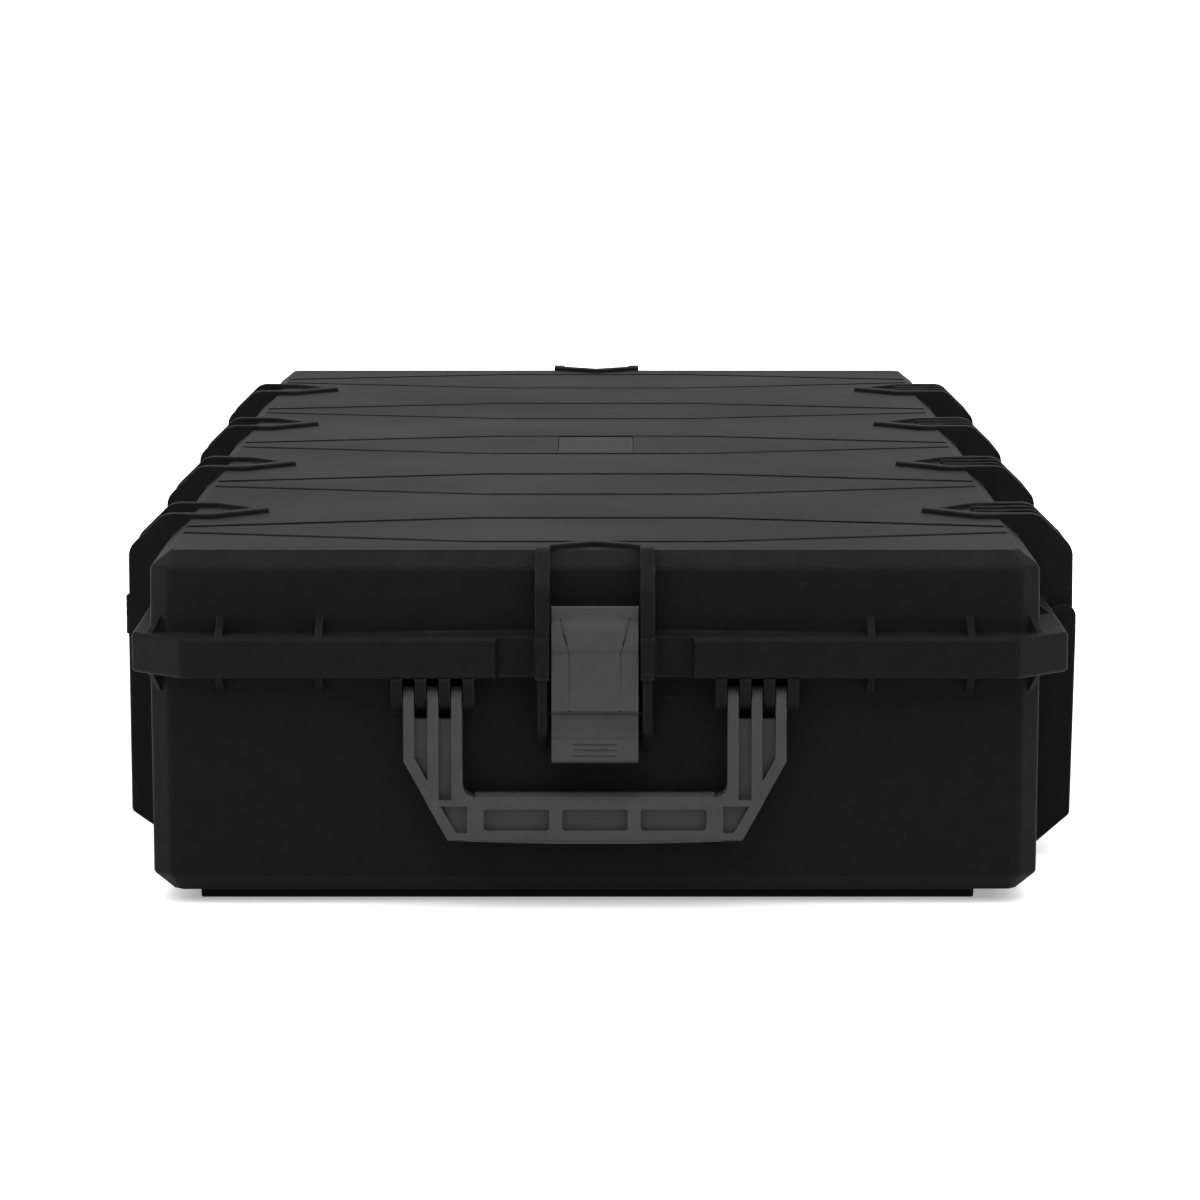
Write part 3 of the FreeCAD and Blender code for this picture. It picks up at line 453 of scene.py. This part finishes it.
def drawn_steel(name, colour, along):
    """Steel rod with die lines along one axis and a few dull spots."""
    material, tree, place = new_material(name)
    scale = tuple(DIE_LINE_STRETCH if axis == along else 1.0 for axis in "XYZ")
    stretch = add_node(tree, "ShaderNodeMapping", values={"Scale": scale})
    tree.links.new(place, stretch.inputs["Vector"])
    lines = noise(tree, stretch.outputs["Vector"], DIE_LINE_SIZE, detail=3.0, roughness=0.6)
    spots = noise(tree, place, SPOT_SIZE, detail=3.0)
    lined = tint(tree, remap(tree, lines, DIE_LINE_SPAN), shaded(colour, DIE_LINE_SHADE), colour)
    dull = combine(tree, "ADD", remap(tree, lines, MIDDLE_SPAN, STEEL_ROUGHNESS),
                   remap(tree, spots, SPOT_SPAN, SPOT_ROUGHNESS))
    normal = bump(tree, lines, strength=0.1, distance=DIE_LINE_DEPTH)
    surface(tree, lined, dull, normal, {"Metallic": 1.0})
    return material


def seal_rubber(name, colour):
    """Soft matt rubber with a pale bloom and a fine skin."""
    material, tree, place = new_material(name)
    bloom = noise(tree, place, BLOOM_SIZE, detail=4.0, roughness=0.6)
    skin = noise(tree, place, SKIN_SIZE, detail=3.0)
    bloomed = tint(tree, remap(tree, bloom, BLOOM_SPAN), colour, paler(colour, BLOOM_SHARE))
    dull = remap(tree, bloom, MIDDLE_SPAN, SEAL_ROUGHNESS)
    normal = bump(tree, skin, strength=0.25, distance=SKIN_DEPTH)
    surface(tree, bloomed, dull, normal, {"Specular IOR Level": 0.25, "Sheen Weight": 0.08})
    return material


def seen_straight(tree):
    """One for the camera's rays and for what metal or glass shows, nothing for the light on the case."""
    path = add_node(tree, "ShaderNodeLightPath")
    seen = combine(tree, "MAXIMUM", path.outputs["Is Camera Ray"], path.outputs["Is Glossy Ray"])
    return combine(tree, "MAXIMUM", seen, path.outputs["Is Transmission Ray"])


def floor_paint(colour, bounce):
    """A pale floor that shows white where the light reaches it, and keeps the shadow."""
    material, tree, place = new_material("studio_floor")
    seen = seen_straight(tree)
    cloud = noise(tree, place, CLOUD_SIZE, detail=3.0)
    paint = tint(tree, cloud, colour, shaded(colour, CLOUD_LIFT))
    paint = tint(tree, seen, shaded(colour, bounce), paint)
    matt = add_node(tree, "ShaderNodeBsdfDiffuse")
    tree.links.new(paint, matt.inputs["Color"])
    glow = add_node(tree, "ShaderNodeEmission", values={"Color": WHITE})
    tree.links.new(combine(tree, "MULTIPLY", seen, FLOOR_GLOW), glow.inputs["Strength"])
    both = add_node(tree, "ShaderNodeAddShader")
    tree.links.new(matt.outputs[0], both.inputs[0])
    tree.links.new(glow.outputs[0], both.inputs[1])
    shader_output(tree, both)
    return material


def studio_world(zenith, horizon):
    """Soft light that is strongest overhead, with a white background."""
    world = bpy.data.worlds.new("studio_world")
    world.use_nodes = True
    tree = world.node_tree
    tree.nodes.clear()
    direction = add_node(tree, "ShaderNodeTexCoord").outputs["Generated"]
    split = add_node(tree, "ShaderNodeSeparateXYZ")
    tree.links.new(direction, split.inputs["Vector"])
    lit = add_node(tree, "ShaderNodeBackground", values={"Color": WHITE})
    tree.links.new(remap(tree, split.outputs["Z"], SKY_SPAN, (horizon, zenith)), lit.inputs["Strength"])
    white = add_node(tree, "ShaderNodeBackground", values={"Color": WHITE, "Strength": 1.0})
    mix = add_node(tree, "ShaderNodeMixShader")
    tree.links.new(seen_straight(tree), mix.inputs["Fac"])
    tree.links.new(lit.outputs[0], mix.inputs[1])
    tree.links.new(white.outputs[0], mix.inputs[2])
    output = add_node(tree, "ShaderNodeOutputWorld")
    tree.links.new(mix.outputs[0], output.inputs["Surface"])
    return world


def give(obj, material):
    """Make a material the only one of an object."""
    obj.data.materials.clear()
    obj.data.materials.append(material)


def add_object(name, bm):
    """Put a finished bmesh into the scene."""
    mesh = bpy.data.meshes.new(name)
    bm.to_mesh(mesh)
    bm.free()
    obj = bpy.data.objects.new(name, mesh)
    bpy.context.scene.collection.objects.link(obj)
    return obj


def nodes_named(*starts):
    """The CAD nodes whose names begin with one of some words."""
    return [node for node in sorted(NODES) if node.startswith(starts)]


def reach_of(place):
    """How far a point stands out from the nearest wall."""
    return max(abs(place.x) - WALL_X, abs(place.y) - WALL_Y)


def finer_grooves(bm, forms):
    """Cut the lid's grooves deeper and wider."""
    for floor in [face for face in bm.faces if face.normal.z > STRAIGHT_ON]:
        if abs(floor.calc_center_median().z - GROOVE_FLOOR_Z) > NEAR:
            continue
        for low in list(floor.verts):
            others = [end for end in floor.verts if end != low]
            facing = [end.co.y for end in others if abs(end.co.x - low.co.x) < GROOVE_END]
            if not facing:
                continue
            aside = math.copysign(forms.groove_wider, low.co.y - facing[0])
            tops = [edge.other_vert(low) for edge in low.link_edges]
            tops = [top for top in tops if top.co.z > low.co.z + NEAR]
            bmesh.ops.translate(bm, verts=[low, *tops], vec=(0.0, aside, 0.0))
            bmesh.ops.translate(bm, verts=[low], vec=(0.0, 0.0, -forms.groove_deeper))


def steeper_setback(bm, forms):
    """Shorten the slant of the rim's step beside each end latch."""
    for vert in bm.verts:
        out = abs(vert.co.x) - SETBACK_HALF
        reach = abs(vert.co.y) - WALL_Y
        beside = NEAR < out < SETBACK_SLANT + NEAR and SETBACK_REACH < reach < RIM_REACH + NEAR
        if beside and abs(vert.co.z - PARTING_Z) < RIM_HALF:
            shift = out * (forms.setback_slant / SETBACK_SLANT - 1.0)
            bmesh.ops.translate(bm, verts=[vert], vec=(math.copysign(shift, -vert.co.x), 0.0, 0.0))


def chamfer_ways(bm):
    """The corners of the chamfer's faces, each with the level directions in which these faces look."""
    ways = {}
    for face in bm.faces:
        middle = face.calc_center_median().z
        if abs(face.normal.z - CHAMFER_DIP) < DIP_SPREAD and BOTTOM_Z < middle < BOTTOM_Z + CHAMFER_RISE:
            level = face.normal.copy()
            level.z = 0.0
            level.normalize()
            for vert in face.verts:
                known = ways.setdefault(vert, [])
                if all(level.dot(way) < STRAIGHT_ON for way in known):
                    known.append(level)
    return ways


def fuller_chamfer(bm, forms):
    """Draw the chamfer round the underside lower and less deep."""
    for vert, known in chamfer_ways(bm).items():
        height = vert.co.z - BOTTOM_Z
        out = (CHAMFER_RUN - forms.chamfer_run) * (1.0 - height / CHAMFER_RISE)
        step = known[0] * out
        if len(known) > 1:
            step = (known[0] + known[1]) * (out / (1.0 + known[0].dot(known[1])))
        step.z = height * (forms.chamfer_rise / CHAMFER_RISE - 1.0)
        bmesh.ops.translate(bm, verts=[vert], vec=step)


def further_ribs(bm, forms):
    """Let the base ribs of the side latches reach further out."""
    near, far = RIB_EDGE_REACH
    low = [vert for vert in bm.verts if vert.co.z < RIB_TOP_Z]
    verts = [vert for vert in low if near < -vert.co.x - WALL_X < far]
    bmesh.ops.translate(bm, verts=verts, vec=(-forms.rib_further, 0.0, 0.0))


def higher_rim_edge(bm, forms):
    """Lift the rim's lower edge with all that meets it."""
    low, high = RIM_EDGE_Z
    verts = [vert for vert in bm.verts if low < vert.co.z < high]
    bmesh.ops.translate(bm, verts=verts, vec=(0.0, 0.0, forms.rim_lift))


def lower_ribs(bm, forms):
    """Draw the lid's ribs lower, with a higher point."""
    for vert in bm.verts:
        rise = vert.co.z - TOP_Z
        if rise < NEAR:
            continue
        drawn = rise * forms.rib_crown / CROWN_RISE
        if reach_of(vert.co) < LID_EDGE_REACH:
            along = (rise - TIP_RISE) / (CROWN_RISE - TIP_RISE)
            drawn = forms.rib_tip + along * (forms.rib_crown - forms.rib_tip)
        bmesh.ops.translate(bm, verts=[vert], vec=(0.0, 0.0, drawn - rise))


def at_elbow(edge, reach, height):
    """True for an edge that lies at one elbow of the lid's ribs."""
    return all(abs(reach_of(end.co) - reach) < ELBOW_SPREAD and abs(end.co.z - height) < ELBOW_SPREAD
               for end in edge.verts)


def softer_elbows(bm, forms):
    """Round the elbows where the lid's ribs turn down to the rim."""
    found = [edge for edge in bm.edges if any(at_elbow(edge, *elbow) for elbow in ELBOWS)]
    bmesh.ops.bevel(bm, geom=found, offset=forms.elbow_round, offset_type="OFFSET", segments=ELBOW_STEPS,
                    profile=ROUND_PROFILE, affect="EDGES", material=-1)


def fainter_line(bm, forms):
    """Fill most of the line across a latch's face."""
    near, far = CROSS_LINE_REACH
    low, high = CROSS_LINE_Z
    for vert in bm.verts:
        if not (low < vert.co.z < high and near < reach_of(vert.co) < far):
            continue
        on_end = abs(vert.co.y) - WALL_Y > abs(vert.co.x) - WALL_X
        if on_end:
            step = (0.0, math.copysign(forms.line_fill, vert.co.y), 0.0)
        else:
            step = (math.copysign(forms.line_fill, vert.co.x), 0.0, 0.0)
        bmesh.ops.translate(bm, verts=[vert], vec=step)


def is_sharp(edge, sharp_angle):
    """True where two faces meet at an edge that a mould would round."""
    return len(edge.link_faces) == 2 and edge.calc_face_angle() > sharp_angle


def is_flat(face, sharp_angle):
    """True for a face that belongs to no curved surface, or is so large that it is plainly flat."""
    if face.calc_area() > LARGE_AREA:
        return True
    soft = any(FLAT_ANGLE < edge.calc_face_angle(0.0) <= sharp_angle for edge in face.edges)
    return face.calc_area() > SMALL_AREA and not soft


def room_at(corner, edge, sharp_angle):
    """How far an edge can be rounded at one of its ends before it meets a neighbour."""
    along = (edge.other_vert(corner).co - corner.co).normalized()
    room = math.inf
    for other in corner.link_edges:
        aside = (other.other_vert(corner).co - corner.co).normalized()
        if other != edge and abs(along.dot(aside)) < STRAIGHT_ON:
            share = HALF_SHARE if is_sharp(other, sharp_angle) else WHOLE_SHARE
            room = min(room, share * other.calc_length())
    return room


def room_across(edge):
    """How far an edge can be rounded before it meets the far side of a narrow face."""
    start = edge.verts[0].co
    along = edge.verts[1].co - start
    room = math.inf
    for face in edge.link_faces:
        for corner in face.verts:
            share = (corner.co - start).dot(along) / along.length_squared
            if corner not in edge.verts and 0.0 <= share <= 1.0:
                room = min(room, HALF_SHARE * (corner.co - start - share * along).length)
    return room


def weigh_edges(bm, radius, sharp_angle):
    """Mark each sharp edge with the share of the radius that fits it; the parting plane stays sharp."""
    weight = bm.edges.layers.float.new("bevel_weight_edge")
    for edge in bm.edges:
        if not is_sharp(edge, sharp_angle):
            continue
        room = min(room_across(edge), *(room_at(end, edge, sharp_angle) for end in edge.verts))
        on_parting = all(abs(end.co.z - PARTING_Z) < NEAR for end in edge.verts)
        if on_parting or room < LEAST_ROUND:
            edge.smooth = False
        else:
            edge[weight] = min(1.0, room / radius)


def reshaped(node, radius, edges, reshapes):
    """A merged copy of a CAD node's mesh with finer forms, its flat faces and its edges marked."""
    bm = bmesh.new()
    bm.from_mesh(NODES[node].data)
    bmesh.ops.remove_doubles(bm, verts=bm.verts, dist=MERGE_DISTANCE)
    bmesh.ops.dissolve_limit(bm, angle_limit=FLAT_ANGLE, verts=bm.verts, edges=bm.edges)
    for reshape in reshapes:
        reshape(bm, bpy.context.scene.case_forms)
    bm.normal_update()
    for face in bm.faces:
        face.smooth = not is_flat(face, edges.sharp_angle)
    weigh_edges(bm, radius, edges.sharp_angle)
    return bm


def rounded_copy(node, radius, edges, *reshapes):
    """A piece that stands for a CAD node: the same form with finer shapes and rounded edges."""
    piece = add_object(f"{node}_moulded", reshaped(node, radius, edges, reshapes))
    old_shading = piece.data.attributes.get("custom_normal")
    if old_shading:
        piece.data.attributes.remove(old_shading)
    bevel = piece.modifiers.new("Rounded edges", "BEVEL")
    bevel.width = radius
    bevel.segments = edges.steps
    bevel.limit_method = "WEIGHT"
    bevel.offset_type = "ABSOLUTE"
    bevel.use_clamp_overlap = False
    bevel.profile = ROUND_PROFILE
    bevel.material = -1
    weighted = piece.modifiers.new("Flat faces stay flat", "WEIGHTED_NORMAL")
    weighted.weight = AREA_WEIGHT
    weighted.thresh = SAME_AREA
    weighted.keep_sharp = True
    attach(piece, BODY_OF[node])
    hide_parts(node)
    return piece


def studio_floor(stage):
    """A wide flat floor under the case."""
    bm = bmesh.new()
    bmesh.ops.create_grid(bm, x_segments=1, y_segments=1, size=stage.floor_size / 2)
    floor = add_object("studio_floor", bm)
    give(floor, floor_paint(tuple(stage.floor_colour), stage.floor_bounce))


def photo_camera(stage):
    """The camera, in front of the case and looking down a little."""
    lens = bpy.data.cameras.new("camera")
    lens.sensor_width = stage.sensor
    lens.lens = stage.lens
    camera = bpy.data.objects.new("camera", lens)
    camera.location = stage.camera_place
    camera.rotation_euler = (math.pi / 2 - stage.camera_tilt, 0.0, 0.0)
    bpy.context.scene.collection.objects.link(camera)
    return camera


class CASE_OT_shells(bpy.types.Operator):
    """Round and finish the lid and the base"""

    bl_idname = "case.shells"
    bl_label = "Lid and base"

    def execute(self, context):
        edges = context.scene.case_edges
        finish = context.scene.case_finishes
        plastic = moulded_plastic("shell_black", finish.shell_colour, finish)
        base = rounded_copy("base_shell", edges.shell_round, edges,
                            steeper_setback, fuller_chamfer, further_ribs, higher_rim_edge)
        lid = rounded_copy("lid_shell", edges.shell_round, edges,
                           steeper_setback, finer_grooves, lower_ribs, softer_elbows)
        give(base, plastic)
        give(lid, plastic)
        return {"FINISHED"}


class CASE_OT_fittings(bpy.types.Operator):
    """Round and finish the latches and the handles"""

    bl_idname = "case.fittings"
    bl_label = "Latches and handles"

    def execute(self, context):
        edges = context.scene.case_edges
        finish = context.scene.case_finishes
        plastic = moulded_plastic("fitting_grey", finish.fitting_colour, finish)
        for node in nodes_named("latch_body"):
            give(rounded_copy(node, edges.fitting_round, edges, fainter_line), plastic)
        for node in ("handle_front", "handle_rear"):
            give(rounded_copy(node, edges.fitting_round, edges), plastic)
        return {"FINISHED"}


class CASE_OT_links(bpy.types.Operator):
    """Finish the toggle links behind the latches"""

    bl_idname = "case.links"
    bl_label = "Toggle links"

    def execute(self, context):
        finish = context.scene.case_finishes
        plastic = moulded_plastic("link_black", finish.link_colour, finish)
        for node in nodes_named("toggle_link"):
            give(NODES[node], plastic)
        return {"FINISHED"}


class CASE_OT_pins(bpy.types.Operator):
    """Finish the steel pins of hinges, latches and handles"""

    bl_idname = "case.pins"
    bl_label = "Pins"

    def execute(self, context):
        colour = context.scene.case_finishes.steel_colour
        steels = {along: drawn_steel(f"pin_steel_{along}", colour, along) for along in "XY"}
        for node in nodes_named("hinge_pins", "latch_pivot_pins", "handle_pins", "toggle_pin"):
            along = "X" if node.endswith(("front", "rear")) else "Y"
            give(NODES[node], steels[along])
        return {"FINISHED"}


class CASE_OT_seal(bpy.types.Operator):
    """Finish the rubber cord in the lid's groove"""

    bl_idname = "case.seal"
    bl_label = "Seal"

    def execute(self, context):
        give(NODES["lid_seal"], seal_rubber("seal_rubber", context.scene.case_finishes.seal_colour))
        return {"FINISHED"}


class CASE_OT_label(bpy.types.Operator):
    """Round and finish the bare label plate"""

    bl_idname = "case.label"
    bl_label = "Label plate"

    def execute(self, context):
        edges = context.scene.case_edges
        finish = context.scene.case_finishes
        plastic = moulded_plastic("label_black", finish.label_colour, finish)
        give(rounded_copy("lid_label_plate", edges.label_round, edges), plastic)
        return {"FINISHED"}


class CASE_OT_stage(bpy.types.Operator):
    """Set the floor, the soft light and the camera"""

    bl_idname = "case.stage"
    bl_label = "Stage"

    def execute(self, context):
        stage = context.scene.case_stage
        studio_floor(stage)
        context.scene.world = studio_world(stage.zenith, stage.horizon)
        context.scene.camera = photo_camera(stage)
        context.scene.view_settings.view_transform = "Standard"
        return {"FINISHED"}


class CASE_PT_sidebar(bpy.types.Panel):
    """The case's sizes, finishes and steps"""

    bl_idname = "CASE_PT_sidebar"
    bl_label = "Transport Case"
    bl_space_type = "VIEW_3D"
    bl_region_type = "UI"
    bl_category = "Case"

    def draw(self, context):
        for name in GROUPS:
            group = getattr(context.scene, name)
            box = self.layout.box()
            for setting in group.__annotations__:
                box.prop(group, setting)
        for operator in OPERATORS:
            self.layout.operator(operator.bl_idname)


GROUPS = {
    "case_edges": CaseEdges,
    "case_forms": CaseForms,
    "case_finishes": CaseFinishes,
    "case_stage": CaseStage,
}
OPERATORS = (
    CASE_OT_shells,
    CASE_OT_fittings,
    CASE_OT_links,
    CASE_OT_pins,
    CASE_OT_seal,
    CASE_OT_label,
    CASE_OT_stage,
)
CLASSES = (*GROUPS.values(), *OPERATORS, CASE_PT_sidebar)


def register():
    """Make the classes and the scene's settings known."""
    for entry in CLASSES:
        bpy.utils.register_class(entry)
    for name, group in GROUPS.items():
        setattr(bpy.types.Scene, name, bpy.props.PointerProperty(type=group))


def unregister():
    """Take the classes and the scene's settings away again."""
    for name in GROUPS:
        delattr(bpy.types.Scene, name)
    for entry in reversed(CLASSES):
        bpy.utils.unregister_class(entry)


def main():
    register()
    bpy.ops.case.shells()
    bpy.ops.case.fittings()
    bpy.ops.case.links()
    bpy.ops.case.pins()
    bpy.ops.case.seal()
    bpy.ops.case.label()
    bpy.ops.case.stage()


if __name__ == "__main__":
    main()
